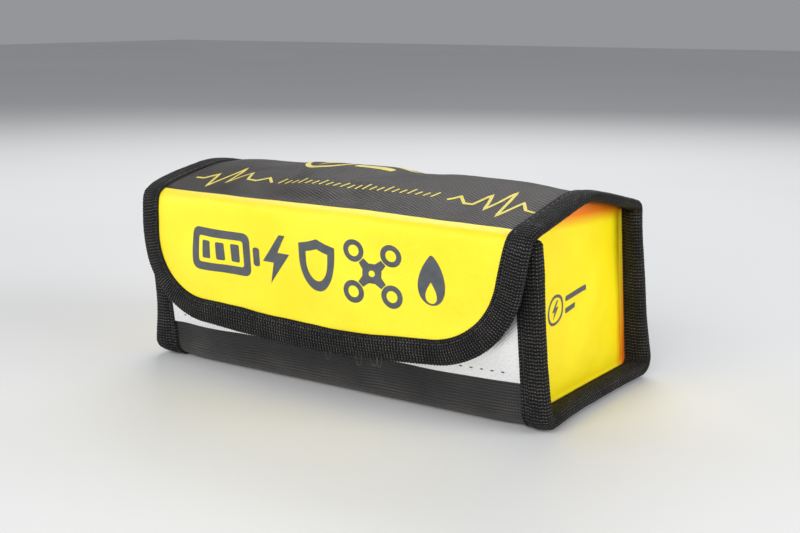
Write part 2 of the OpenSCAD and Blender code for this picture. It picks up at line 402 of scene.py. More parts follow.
def spaced_s(start, end):
    """Places along the profile, close together where it bends."""
    places, at = [start], start
    bends = [(S_FRONT_FOLD, 6), (S_BACK_FOLD, 6), (S_LID, 5), (S_CREASE, 4)]
    while at < end - 0.6:
        near = any(abs(at - bend) < reach for bend, reach in bends)
        at += 0.5 if near else 1.1
        places.append(min(at, end))
    if places[-1] < end:
        places.append(end)
    return np.array(places)


def strip_ply(name, start, end, depth, thick, material):
    """A ply right across the bag, from one place along the profile to another."""
    xs = np.linspace(-PLY_X, PLY_X, round(2 * PLY_X / 1.1) + 1)
    ss = spaced_s(start, end)
    s, x = (a.ravel() for a in np.meshgrid(ss, xs, indexing="ij"))
    faces = grid_faces(len(ss), len(xs))
    top, bottom = (place(x, s, d) for d in (depth, depth + thick))
    return shell(name, np.stack([x, s], axis=1), faces, top, bottom, material)


def inside_loop(points, loop):
    """Whether each point is inside a closed loop."""
    x, y = points[:, 0], points[:, 1]
    result = np.zeros(len(points), bool)
    for (x1, y1), (x2, y2) in zip(loop, np.roll(loop, -1, axis=0)):
        crosses = (y1 > y) != (y2 > y)
        result ^= crosses & (x < (x2 - x1) * (y - y1) / (y2 - y1 + 1e-12) + x1)
    return result


def inside_loops(points, loops):
    """Whether each point is inside closed loops, by the even-odd rule."""
    inside = np.zeros(len(points), bool)
    for loop in loops:
        inside ^= inside_loop(points, loop)
    return inside


def fill(loops, spacing):
    """Triangles that fill closed loops by the even-odd rule, with a grid of points inside them."""
    every = np.concatenate(loops)
    low, high = every.min(0) + spacing / 2, every.max(0)
    gx, gy = np.meshgrid(*(np.arange(low[k], high[k], spacing) for k in (0, 1)))
    points = np.stack([gx.ravel(), gy.ravel()], axis=1)
    points = points[inside_loops(points, loops)]
    near = np.array([np.hypot(*(every - p).T).min() for p in points]) if len(points) else np.zeros(0)
    points = points[near > spacing * 0.45]
    edges, first = [], 0
    for loop in loops:
        edges += [(first + i, first + (i + 1) % len(loop)) for i in range(len(loop))]
        first += len(loop)
    source = [Vector(p) for p in np.concatenate([every, points])]
    found, _, faces, *_ = delaunay_2d_cdt(source, edges, [], 0, 1e-5)
    flat = np.array([tuple(p) for p in found])
    centres = np.array([flat[list(face)].mean(0) for face in faces])
    faces = [tuple(face) for face, kept in zip(faces, inside_loops(centres, loops)) if kept]
    used = sorted({i for face in faces for i in face})
    order = {old: new for new, old in enumerate(used)}
    return flat[used], [tuple(order[i] for i in face) for face in faces]


def tubes(name, centres, ups, radii, material, sides=6):
    """Round tubes along rows of centres, one row each, as a single mesh with closed ends."""
    centres, ups = np.asarray(centres, float), np.asarray(ups, float)
    count, steps = centres.shape[:2]
    tangent = np.gradient(centres, axis=1)
    tangent /= np.linalg.norm(tangent, axis=2, keepdims=True) + 1e-12
    side = np.cross(tangent, ups)
    side /= np.linalg.norm(side, axis=2, keepdims=True) + 1e-12
    up = np.cross(side, tangent)
    turn = np.linspace(0, 2 * math.pi, sides, endpoint=False)
    radii = np.broadcast_to(radii, (count, steps))[:, :, None, None]
    ring = side[:, :, None] * np.cos(turn)[:, None] + up[:, :, None] * np.sin(turn)[:, None]
    points = (centres[:, :, None] + radii * ring).reshape(-1, 3)
    one = grid_faces(steps, sides, around=True).tolist()
    one += [tuple(range(sides))[::-1], tuple(range((steps - 1) * sides, steps * sides))]
    faces = [tuple(i + k * steps * sides for i in face) for k in range(count) for face in one]
    return make_mesh(name, points, faces, None, material)


# ---------------------------------------------------------------- materials

RIB = 0.95  # from one rib of the binding tape to the next
ZIGZAG = 1.9  # from one bend of those ribs to the next, across the tape
WEAVE = 0.42  # from one thread of the coated cloth to the next


def new_material(name):
    """An empty node material, its node tree and its Principled shader."""
    material = bpy.data.materials.new(name)
    material.use_nodes = True
    tree = material.node_tree
    tree.nodes.clear()
    output = tree.nodes.new("ShaderNodeOutputMaterial")
    shader = tree.nodes.new("ShaderNodeBsdfPrincipled")
    tree.links.new(shader.outputs["BSDF"], output.inputs["Surface"])
    return material, tree, shader


def feed(tree, socket, value):
    """Links a node's output to a socket, or sets the socket to a plain value."""
    if isinstance(value, bpy.types.NodeSocket):
        tree.links.new(value, socket)
    else:
        socket.default_value = value


def maths(tree, operation, *values):
    """A math node fed by sockets or plain values, and its result."""
    node = tree.nodes.new("ShaderNodeMath")
    node.operation = operation
    for socket, value in zip(node.inputs, values):
        feed(tree, socket, value)
    return node.outputs[0]


def pattern_axes(tree):
    """The two axes of the flat pattern, in metres."""
    uv = tree.nodes.new("ShaderNodeUVMap")
    uv.uv_map = "pattern"
    split = tree.nodes.new("ShaderNodeSeparateXYZ")
    tree.links.new(uv.outputs["UV"], split.inputs[0])
    return uv.outputs["UV"], split.outputs[0], split.outputs[1]


def waves(tree, coordinate, pitch_mm):
    """A sine from -1 to 1 along a coordinate in metres."""
    return maths(tree, "SINE", maths(tree, "MULTIPLY", coordinate, 2 * math.pi / (pitch_mm * MM)))


def speckle(tree, vector, size_mm, detail=2.0, roughness=0.5):
    """Noise from 0 to 1, about size_mm from hill to hill."""
    node = tree.nodes.new("ShaderNodeTexNoise")
    node.noise_dimensions = "3D"
    node.inputs["Scale"].default_value = 1 / (size_mm * MM)
    node.inputs["Detail"].default_value = detail
    node.inputs["Roughness"].default_value = roughness
    tree.links.new(vector, node.inputs["Vector"])
    return node.outputs["Fac"]


def ramp(tree, value, stops):
    """A colour that follows a value from 0 to 1."""
    node = tree.nodes.new("ShaderNodeValToRGB")
    elements = node.color_ramp.elements
    while len(elements) < len(stops):
        elements.new(0.5)
    for element, (position, colour) in zip(elements, stops):
        element.position = position
        element.color = (*colour, 1.0)
    tree.links.new(value, node.inputs[0])
    return node.outputs[0]


def bump(tree, shader, height, distance_mm):
    """Raises the surface by a height times a distance."""
    node = tree.nodes.new("ShaderNodeBump")
    node.inputs["Distance"].default_value = distance_mm * MM
    node.inputs["Strength"].default_value = 1.0
    tree.links.new(height, node.inputs["Height"])
    tree.links.new(node.outputs[0], shader.inputs["Normal"])


def weave(tree, u, v, pitch_mm):
    """The hills of a plain weave, from -1 to 1."""
    return maths(tree, "MULTIPLY", waves(tree, u, 2 * pitch_mm), waves(tree, v, 2 * pitch_mm))


def charcoal_cloth():
    """Charcoal coated twill of the lid, whose ribs are drawn lighter than its grooves: a painted highlight
    along the ribs.
    """
    material, tree, shader = new_material("charcoal_twill")
    uv, u, v = pattern_axes(tree)
    twill = math.radians(66)
    rise, run = math.sin(twill), math.cos(twill)
    across = maths(tree, "ADD", maths(tree, "MULTIPLY", u, rise), maths(tree, "MULTIPLY", v, run))
    along = maths(tree, "SUBTRACT", maths(tree, "MULTIPLY", v, rise), maths(tree, "MULTIPLY", u, run))
    ribs = waves(tree, across, 0.76)
    knots = waves(tree, along, 0.9)
    cloth = maths(tree, "ADD", maths(tree, "MULTIPLY", ribs, 0.75), maths(tree, "MULTIPLY", knots, 0.25))
    worn = speckle(tree, uv, 16, 4.0, 0.6)
    # The ribs' lighter colour is a painted highlight.
    level = maths(tree, "ADD", maths(tree, "MULTIPLY", cloth, 0.7), worn)
    stops = [(0.2, (0.0015, 0.0012, 0.001)), (0.55, (0.011, 0.009, 0.0078)), (1.0, (0.095, 0.078, 0.069))]
    feed(tree, shader.inputs["Base Color"], ramp(tree, level, stops))
    feed(tree, shader.inputs["Roughness"], maths(tree, "MULTIPLY_ADD", worn, 0.18, 0.34))
    shader.inputs["Specular IOR Level"].default_value = 0.26
    bump(tree, shader, cloth, 0.36)
    return material


def printed_cloth(name, size_mm, detail, roughness, contrast, dark, light, rough):
    """Print on coated cloth, mottled from dark to light, with the weave showing through.

    Gives the material, its tree and shader, the print's colour and how patchy it is.
    """
    material, tree, shader = new_material(name)
    uv, u, v = pattern_axes(tree)
    cloth = weave(tree, u, v, WEAVE)
    patches = speckle(tree, uv, size_mm, detail, roughness)
    level = maths(tree, "ADD", maths(tree, "MULTIPLY", cloth, contrast), patches)
    colour = ramp(tree, level, [dark, light])
    feed(tree, shader.inputs["Base Color"], colour)
    feed(tree, shader.inputs["Roughness"], maths(tree, "MULTIPLY_ADD", patches, 0.2, rough))
    bump(tree, shader, cloth, 0.035)
    return material, tree, shader, colour, patches


def yellow_print():
    """Bright yellow print of the flap."""
    dark, light = (0.3, (0.97, 0.77, 0.012)), (0.7, (1.0, 0.86, 0.03))
    material, _, shader, *_ = printed_cloth("yellow_print", 30, 4.0, 0.55, 0.10, dark, light, 0.30)
    shader.inputs["Specular IOR Level"].default_value = 0.45
    return material


def end_print():
    """The end panels' yellow print, with painted shade in deep orange under the lid and beside the back
    rim.
    """
    dark, light = (0.3, (0.97, 0.76, 0.005)), (0.7, (1.0, 0.84, 0.011))
    material, tree, shader, plain, patches = printed_cloth(
        "yellow_end_print_painted_shade", 30, 4.0, 0.55, 0.10, dark, light, 0.30)
    _, u, v = pattern_axes(tree)
    # Painted shade: the yellow turns deep orange towards the top, under the lid, and towards the back rim.
    slope = maths(tree, "MULTIPLY_ADD", u, 0.05, v)
    shade_under_lid = maths(tree, "MULTIPLY_ADD", slope, 1 / (4 * MM), -49.5 / 4)
    shade_by_rim = maths(tree, "MULTIPLY_ADD", u, 1 / (5 * MM), -30.5 / 5)
    painted_shade = maths(tree, "MULTIPLY_ADD", patches, 0.3, maths(tree, "MAXIMUM", shade_under_lid, shade_by_rim))
    mix = tree.nodes.new("ShaderNodeMix")
    mix.data_type = "RGBA"
    feed(tree, mix.inputs[0], maths(tree, "MINIMUM", maths(tree, "MAXIMUM", painted_shade, 0.0), 0.9))
    feed(tree, mix.inputs[6], plain)
    # the deep orange of the painted shade
    mix.inputs[7].default_value = (0.90, 0.15, 0.002, 1.0)
    feed(tree, shader.inputs["Base Color"], mix.outputs[2])
    shader.inputs["Specular IOR Level"].default_value = 0.24
    return material


def black_cloth():
    """Black coated cloth of the wrap, finely woven and a little glossy, with a painted sheen that makes it
    lighter along its folds.
    """
    material, tree, shader = new_material("black_coated_cloth")
    uv, u, v = pattern_axes(tree)
    woven = maths(tree, "MULTIPLY", weave(tree, u, v, WEAVE), 0.5)
    cloth = maths(tree, "ADD", woven, waves(tree, v, 2 * WEAVE))
    worn = speckle(tree, uv, 12, 5.0, 0.6)
    # Painted sheen: the cloth is drawn lighter and browner within 7 mm of both folds along the base.
    fold_sheen = 0.0
    for fold in (S_FRONT_FOLD, S_BACK_FOLD):
        away = maths(tree, "ABSOLUTE", maths(tree, "SUBTRACT", v, fold * MM))
        near = maths(tree, "MAXIMUM", maths(tree, "MULTIPLY_ADD", away, -1 / (7 * MM), 1.0), 0.0)
        fold_sheen = maths(tree, "ADD", near, fold_sheen)
    level = maths(tree, "MULTIPLY_ADD", cloth, 0.16, maths(tree, "MULTIPLY", worn, 0.6))
    level = maths(tree, "MULTIPLY_ADD", fold_sheen, 0.42, level)
    stops = [(0.15, (0.003, 0.003, 0.0032)), (0.5, (0.015, 0.0145, 0.014)), (0.95, (0.085, 0.074, 0.064))]
    feed(tree, shader.inputs["Base Color"], ramp(tree, level, stops))
    feed(tree, shader.inputs["Roughness"], maths(tree, "MULTIPLY_ADD", worn, 0.16, 0.30))
    shader.inputs["Specular IOR Level"].default_value = 0.5
    bump(tree, shader, cloth, 0.06)
    return material


def tape_black():
    """Black ribbed tape: the ribs are in the mesh, and the yarns and fluff are here. Its colour is lighter
    on the rib crests, a painted highlight, and on specks that are partly fluff and partly painted glints.
    """
    material, tree, shader = new_material("tape_black")
    uv, u, v = pattern_axes(tree)
    yarns = waves(tree, v, 0.42)
    bent = maths(tree, "MULTIPLY", waves(tree, v, ZIGZAG), 0.2 * math.pi)
    ribs = maths(tree, "COSINE", maths(tree, "MULTIPLY_ADD", u, 2 * math.pi / (RIB * MM), bent))
    fluff = speckle(tree, uv, 0.32, 3.0, 0.7)
    dust = speckle(tree, uv, 7, 4.0, 0.6)
    # Lighter specks: partly fluff, partly painted glints.
    fluff_and_glints = maths(tree, "MULTIPLY_ADD", fluff, 0.75, maths(tree, "MULTIPLY", dust, 0.25))
    knots = maths(tree, "MULTIPLY_ADD", waves(tree, v, 0.74), 0.45, 0.55)
    # Lighter rib crests: a painted highlight.
    rib_crest_highlight = maths(tree, "MULTIPLY", maths(tree, "MULTIPLY", ribs, knots), 0.26)
    level = maths(tree, "ADD", maths(tree, "MULTIPLY_ADD", yarns, 0.05, fluff_and_glints), rib_crest_highlight)
    stops = [
        (0.36, (0.0012, 0.0012, 0.0012)), (0.52, (0.006, 0.0057, 0.0055)),
        (0.68, (0.045, 0.043, 0.041)), (0.86, (0.20, 0.19, 0.185)),
    ]
    feed(tree, shader.inputs["Base Color"], ramp(tree, level, stops))
    shader.inputs["Roughness"].default_value = 0.66
    shader.inputs["Specular IOR Level"].default_value = 0.16
    bump(tree, shader, maths(tree, "ADD", maths(tree, "MULTIPLY", yarns, 0.4), fluff), 0.12)
    return material


def silver_foil(name, rough, pitch_mm):
    """Aluminised cloth: soft mirror with a fine weave and small creases."""
    material, tree, shader = new_material(name)
    uv, u, v = pattern_axes(tree)
    cloth = weave(tree, u, v, pitch_mm)
    creases = speckle(tree, uv, 5, 3.0, 0.55)
    grain = speckle(tree, uv, 0.7, 2.0, 0.6)
    stops = [(0.3, (0.86, 0.87, 0.90)), (0.6, (0.97, 0.975, 0.99))]
    feed(tree, shader.inputs["Base Color"], ramp(tree, grain, stops))
    shader.inputs["Metallic"].default_value = 0.85
    feed(tree, shader.inputs["Roughness"], maths(tree, "MULTIPLY_ADD", grain, 0.12, rough))
    height = maths(tree, "ADD", maths(tree, "MULTIPLY", cloth, 0.12), creases)
    bump(tree, shader, height, 0.14)
    return material


def felt_grey():
    """Matt grey felt of loose fibres."""
    material, tree, shader = new_material("felt_grey")
    uv, _, _ = pattern_axes(tree)
    fibres = speckle(tree, uv, 0.6, 5.0, 0.75)
    stops = [(0.3, (0.42, 0.40, 0.36)), (0.7, (0.66, 0.63, 0.57))]
    feed(tree, shader.inputs["Base Color"], ramp(tree, fibres, stops))
    shader.inputs["Roughness"].default_value = 0.95
    bump(tree, shader, fibres, 0.2)
    return material


def ink(name, dark, light):
    """Printed ink that lets the weave of the cloth show."""
    return printed_cloth(name, 3, 5.0, 0.65, 0.25, (0.25, dark), (0.75, light), 0.36)[0]


def thread(name, colour):
    """Spun sewing thread."""
    material, tree, shader = new_material(name)
    place_of = tree.nodes.new("ShaderNodeTexCoord")
    fibres = speckle(tree, place_of.outputs["Object"], 0.25, 2.0, 0.6)
    dim = tuple(c * 0.45 for c in colour)
    feed(tree, shader.inputs["Base Color"], ramp(tree, fibres, [(0.3, dim), (0.7, colour)]))
    shader.inputs["Roughness"].default_value = 0.6
    shader.inputs["Sheen Weight"].default_value = 0.2
    bump(tree, shader, fibres, 0.05)
    return material


CHARCOAL = charcoal_cloth()
YELLOW = yellow_print()
END_YELLOW = end_print()
BLACK = black_cloth()
TAPE = tape_black()
SILVER = silver_foil("silver_facing", 0.28, 0.45)
LINING = silver_foil("silver_lining", 0.34, 0.7)
FELT = felt_grey()
SLATE_INK = ink("slate_ink", (0.055, 0.062, 0.07), (0.10, 0.11, 0.12))
YELLOW_INK = ink("yellow_ink", (0.60, 0.48, 0.03), (0.88, 0.74, 0.08))
BLACK_THREAD = thread("black_thread", (0.016, 0.016, 0.017))
LOOSE_THREAD = thread("loose_thread", (0.09, 0.088, 0.085))


# ---------------------------------------------------------------- the flap's outline

def outline_of_flap(inset=0.0):
    """The flap's edge in the flat pattern, from the left end of the crease to the right one."""
    start = S_FLAP_CLOTH
    top = S_CREASE + 1.5
    corners = [
        (-RIM_X, start), (-RIM_X, top), (-RIM_X + 7.5, S_END - 4.2), (2, S_END + 0.2),
        (RIM_X - 7.5, S_END - 5.0), (RIM_X, top), (RIM_X, start)]
    line = rounded_line([np.array(c, float) for c in corners], [25, 23, 250, 30, 25])
    line, at = along_line(line, 0.2)
    ahead = headings(line)
    normal = np.stack([ahead[:, 1], -ahead[:, 0]], axis=1)
    return line + inset * normal, normal, at


def flap_ply(name, depth, thick, material):
    """A ply of the flap, from just behind the crease to its rounded edge."""
    edge, _, _ = outline_of_flap(RIM_X - PLY_X)
    edge = edge[::5]
    left, right = edge[0], edge[-1]
    start = np.array([[x, S_FLAP_CLOTH] for x in np.linspace(right[0], left[0], 123)[1:-1]])
    flat, faces = fill([np.concatenate([edge, start])], 1.1)
    top, bottom = (place(flat[:, 0], flat[:, 1], d) for d in (depth, depth + thick))
    if signed_area(flat, faces[0]) > 0:
        faces = [face[::-1] for face in faces]
    return shell(name, flat, faces, top, bottom, material)


def signed_area(flat, face):
    """Twice the area of a flat face, less than 0 where its points run clockwise."""
    a, b, c = (flat[i] for i in face[:3])
    return (b[0] - a[0]) * (c[1] - a[1]) - (b[1] - a[1]) * (c[0] - a[0])


# ---------------------------------------------------------------- the binding tape

TAPE_W = 7.0
TAPE_MIDDLE = 3.4  # the inset that a free end closes in on
SEAM_IN = 1.2  # from the tape's inner edge to its sewn line
TAPE_STEP = RIB / 5
SEWN_D = -TAPE_T + 0.12  # depth of a sewn line on the tape


def tape_section(thick, outer_w, inner_w):
    """The section of tape folded over an edge of that thickness, for each row of the tape.

    Gives inset from the rim, depth, the outward directions of both, how ribbed each point is,
    and the distance round the section.
    """
    t, r = TAPE_T, thick[:, None] / 2 + TAPE_T
    middle = thick[:, None] / 2
    side = np.linspace(0, 1, 11)[None, :]
    nose = np.radians(np.linspace(-80, 80, 9))[None, :]
    ones = np.ones_like(r)
    outer_w, inner_w = (np.broadcast_to(width, len(thick))[:, None] for width in (outer_w, inner_w))

    def flank(width):
        e = width - 0.25 + (r - width + 0.25) * side
        seam = np.exp(-(((e - (width - SEAM_IN)) / 0.5) ** 2))
        crown = 0.22 * np.sin(math.pi * np.clip((width - SEAM_IN - e) / (width - SEAM_IN - r), 0, 1))
        return e, crown - 0.2 * seam

    outer_e, outer_lift = flank(outer_w)
    inner_e, inner_lift = flank(inner_w)
    columns = [
        (outer_w, -GAP * ones, 0, 0, 0),
        (outer_w + 0.04, -t / 2 * ones, 1, 0, 0.5),
        (outer_e, -t - outer_lift, 0, -1, 1),
        (r - r * np.cos(nose), middle + r * np.sin(nose), -np.cos(nose), np.sin(nose), 1),
        (inner_e[:, ::-1], thick[:, None] + t + inner_lift[:, ::-1], 0, 1, 1),
        (inner_w + 0.04, thick[:, None] + t / 2, 1, 0, 0.5),
        (inner_w, thick[:, None] + GAP, 0, 0, 0),
        (r, thick[:, None] + GAP, 0, 0, 0),
        (ones * t, middle, 0, 0, 0),
        (r, -GAP * ones, 0, 0, 0),
    ]
    parts = [[np.broadcast_to(value, (len(thick), np.shape(c[0])[1])) for value in c] for c in columns]
    e, d, e_out, d_out, ribbed = (np.concatenate([part[k] for part in parts], axis=1) for k in range(5))
    around = np.hypot(np.diff(e[0], append=e[0, 0]), np.diff(d[0], append=d[0, 0]))
    return e, d, e_out, d_out, ribbed, np.concatenate([[0], np.cumsum(around)])


def binding(name, path, normal, at, thick, outer_w=TAPE_W, inner_w=TAPE_W - 0.5, free_end=False):
    """Ribbed tape folded over an edge of the flat pattern.

    path holds the points of the rim, normal the inward directions there, and at the distance
    along it. The tape's first end is rounded where it is free.
    """
    e, d, e_out, d_out, ribbed, v = tape_section(thick, outer_w, inner_w)
    wobble = noise_at(at / 5.0, np.full(len(at), path[0, 0]), 0.5)[:, None]
    zigzag = 0.10 * np.sin(2 * math.pi * v[:-1] / ZIGZAG)[None, :]
    rib = np.cos(2 * math.pi * (at[:, None] / RIB + zigzag))
    fuzz = np.array([[noise.noise(Vector((a * 1.7, b * 1.3, path[0, 0]))) for b in v[:-1]] for a in at])
    out = ribbed * (0.075 * rib + 0.05 * fuzz + 0.06 * wobble)
    e, d = e + out * e_out, d + out * d_out
    if free_end:
        left = np.clip((at - at[0]) / 1.5, 0, 1)[:, None]
        size = np.sqrt(1 - (1 - left) ** 2) * 0.95 + 0.05
        middle = thick[:, None] / 2
        d = middle + (d - middle) * size
        e = TAPE_MIDDLE + (e - TAPE_MIDDLE) * (0.35 + 0.65 * size)
    x = path[:, :1] + e * normal[:, :1]
    s = path[:, 1:] + e * normal[:, 1:]
    return swept(name, place(x, s, d), at, v, TAPE)


def side_path(side, start, end):
    """The rim of one side of the bag, from one place along the profile to another."""
    at = np.arange(start, end + TAPE_STEP / 2, TAPE_STEP)
    at[-1] = end
    path = np.stack([np.full(len(at), side * RIM_X), at], axis=1)
    normal = np.tile([-side, 0.0], (len(at), 1))
    return path, normal, at


S_TAPE_CUT = S_LID - 2.5  # the rim's tape and the lid's are parted here


def stitch_row(name, path, normal, at, inset, depth=SEWN_D, pitch=2.6, length=1.9, radius=0.16):
    """A sewn line of short stitches that dive into the tape or cloth at both ends."""
    starts = np.arange(at[0] + pitch, at[-1] - pitch, pitch)
    share = np.linspace(0, 1, 6)
    where = starts[:, None] + length * share[None, :]
    x, s, nx, ns = (np.interp(where, at, values) for values in (*path.T, *normal.T))
    x, s = x + inset * nx, s + inset * ns
    from_middle = 2 * share - 1
    low = place(x, s, depth + radius * 2.2 * from_middle[None, :] ** 4)
    up = place(x, s, depth - 1) - place(x, s, depth)
    return tubes(name, low, up, radius * (1 - 0.5 * from_middle ** 6), BLACK_THREAD)


def loose_threads(path, normal, at):
    """A few loops of thread that stand out of the flap tape's lower edge."""
    rows = []
    t = np.linspace(0, 1, 16)
    swing = np.sin(math.pi * t)
    for x, drop, wide in ((4.0, 1.2, 0.9), (14.5, 1.5, 1.0), (19.6, 1.1, 1.2), (21.4, 1.4, 0.9)):
        middle = at[np.abs(path[:, 0] - x).argmin()]
        where = middle - wide * np.cos(math.pi * t) * (1 + 0.5 * swing)
        e = 1.6 - (drop + 1.6) * swing ** 1.3
        px, ps, nx, ns = (np.interp(where, at, values) for values in (*path.T, *normal.T))
        lift = -TAPE_T - 0.3 - 0.3 * swing + 0.5 * np.cos(math.pi * t / 2) ** 8
        rows.append(place(px + e * nx, ps + e * ns, lift))
    rows = np.array(rows)
    ups = np.tile([0.0, -1.0, 0.1], (*rows.shape[:2], 1))
    return tubes("flap_loose_threads", rows, ups, 0.055, LOOSE_THREAD, 5)


# ---------------------------------------------------------------- the plies


def belongs(piece, body, slot, *nodes):
    """Makes a piece move with a body, or, for the lid's and flap's bends, bakes its place into its mesh,
    and makes it stand for its CAD nodes.
    """
    if body == "lid_bend":
        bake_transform(piece)
    elif body == "flap_bend":
        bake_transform(piece)
    else:
        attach(piece, body)
    if nodes:
        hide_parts(*nodes)
    return piece


def make_cloths():
    """The coated cloth, felt and lining of the wrap, the lid and the flap."""
    outer_slots = ("wrap_black", "lid_charcoal", "print_yellow")
    plies = [
        ("cloth", 0.0, OUTER_T, (BLACK, CHARCOAL, YELLOW), outer_slots, "outer"),
        ("felt", PAD_D, PAD_T, (FELT,) * 3, ("felt_grey",) * 3, "padding"),
        ("lining", LINING_D, LINING_T, (LINING,) * 3, ("silver_foil",) * 3, "lining"),
    ]
    for kind, depth, thick, materials, slots, node in plies:
        wrap_node = "outer_wrap" if kind == "cloth" else "wrap_" + node
        wrap = strip_ply("wrap_" + kind, 0, S_WRAP_END, depth, thick, materials[0])
        belongs(wrap, "body", slots[0], wrap_node)
        lid = strip_ply("lid_" + kind, S_WRAP_END, S_FLAP_CLOTH, depth, thick, materials[1])
        belongs(lid, "lid_bend", slots[1], "lid_" + node)
        flap = flap_ply("flap_" + kind, depth, thick, materials[2])
        if kind == "cloth":
            colour_by_s(flap, S_PRINT, CHARCOAL)
        belongs(flap, "flap_bend", slots[2], "flap_" + node)


def colour_by_s(piece, before, material):
    """Gives the faces before a place along the profile another material."""
    mesh = piece.data
    mesh.materials.append(material)
    layer = mesh.uv_layers[0].data
    for polygon in mesh.polygons:
        v = sum(layer[i].uv[1] for i in polygon.loop_indices) / polygon.loop_total
        if v < before * MM:
            polygon.material_index = 1


def make_bindings():
    """The tape round both rims, the lid's ends and the flap, with its sewn lines."""
    for side, word in ((1, "right"), (-1, "left")):
        path, normal, at = side_path(side, -2.5, S_TAPE_CUT)
        thick = RIM_T + 0.9 * np.exp(-(((at - 6) / 6) ** 2))
        rim = binding("rim_tape_" + word, path, normal, at, thick, inner_w=TAPE_W - 0.7, free_end=True)
        belongs(rim, "body", "tape_black", "rim_binding_" + word)
        seam = stitch_row("rim_stitches_" + word, path, normal, at, TAPE_W - SEAM_IN)
        belongs(seam, "body", "thread_black", "rim_thread_" + word)
        path, normal, at = side_path(side, S_TAPE_CUT - 1.0, S_FLAP_CLOTH)
        thick = RIM_T + (PLIES_T - RIM_T) * smooth((at - S_TAPE_CUT) / 8)
        edge = binding("lid_tape_" + word, path, normal, at, thick, inner_w=TAPE_W - 0.7)
        belongs(edge, "lid_bend", "tape_black", "lid_binding_" + word)
        seam = stitch_row("lid_stitches_" + word, path, normal, at, TAPE_W - SEAM_IN)
        belongs(seam, "lid_bend", "thread_black", "lid_thread_" + word)
    path, normal, at = outline_of_flap()
    fine = np.arange(0, at[-1], TAPE_STEP)
    path = np.stack([np.interp(fine, at, path[:, k]) for k in (0, 1)], axis=1)
    normal = np.stack([np.interp(fine, at, normal[:, k]) for k in (0, 1)], axis=1)
    low_edge = smooth((path[:, 1] - S_CREASE - 15) / 15)
    wide = TAPE_W + 1.2 * np.exp(-(((path[:, 0] + 15) / 38) ** 2)) * low_edge
    edge = binding("flap_tape", path, normal, fine, np.full(len(fine), PLIES_T), outer_w=wide)
    belongs(edge, "flap_bend", "tape_black", "flap_binding")
    seam_path = path + normal * (wide - TAPE_W)[:, None]
    seam = stitch_row("flap_stitches", seam_path, normal, fine, TAPE_W - SEAM_IN)
    belongs(seam, "flap_bend", "thread_black", "flap_thread")
    belongs(loose_threads(path, normal, fine), "flap", "thread_black")


# ---------------------------------------------------------------- the end panels

FILLET = 0.8  # the bend between an end panel and its flange
ROOF_D = PLIES_T + TAPE_T + 0.5  # depth of an end panel's top edge under the lid's outer face
HEM_H = 2.4  # height of the hem along an end panel's top edge
CLOTH_START = -LEAD + 0.1  # the places along the profile where the panel's cloth and its other plies start
PLY_START = -1.5
CLOTH_SEWN, PLY_SEWN = -1.6, 3.0  # and where their flanges do


def end_outline(depth, start=CLOTH_START):
    """An end panel's outline in Y and Z.

    Gives the walls at that depth with their places along the profile, and the roof, back to front.
    """
    ss = spaced_s(start, S_LID - 3)
    walls = profile_at(ss, depth)
    up = unit(walls[-1] - walls[-8])
    more = np.arange(0.5, 6, 0.5)
    walls = np.concatenate([walls, walls[-1] + more[:, None] * up])
    ss = np.concatenate([ss, ss[-1] + more])
    roof = profile_at(np.arange(S_LID, S_CREASE, 1.0), ROOF_D)
    roof = roof[np.argsort(roof[:, 0])]
    below = walls[:, 1] < np.interp(walls[:, 0], roof[:, 0], roof[:, 1]) - 0.15
    walls, ss = walls[below], ss[below]
    keep = (roof[:, 0] < walls[-1, 0] - 0.4) & (roof[:, 0] > walls[0, 0] + 0.4)
    return walls, ss, roof[keep][::-1]


def end_bulge(y, z, side):
    """How far an end panel stands out of its plane: a soft pillow with a few dents."""
    across = np.clip((y - FRONT_TOP[0]) / (BACK_BOTTOM[0] - FRONT_TOP[0]), 0, 1)
    up = np.clip(z / CREASE_Z, 0, 1)
    pillow = np.sin(math.pi * across) * np.sin(math.pi * up) ** 0.8
    dents = 1.1 * noise_at(y / 17, z / 14, 4.2 * side) + 0.35 * noise_at(y / 6, z / 5, 9.1 * side)
    return pillow * (dents - 0.9)


def turn_outward(piece, side):
    """Turns the faces of an end panel's ply so that the panel's middle looks out of the bag."""
    work = bmesh.new()
    work.from_mesh(piece.data)
    bmesh.ops.recalc_face_normals(work, faces=work.faces)
    centre = Vector((side * END_X, 0, CREASE_Z / 2)) * MM
    middle = min(work.faces, key=lambda face: (face.calc_center_median() - centre).length)
    if middle.normal.x * side < 0:
        bmesh.ops.reverse_faces(work, faces=work.faces)
    work.to_mesh(piece.data)
    work.free()


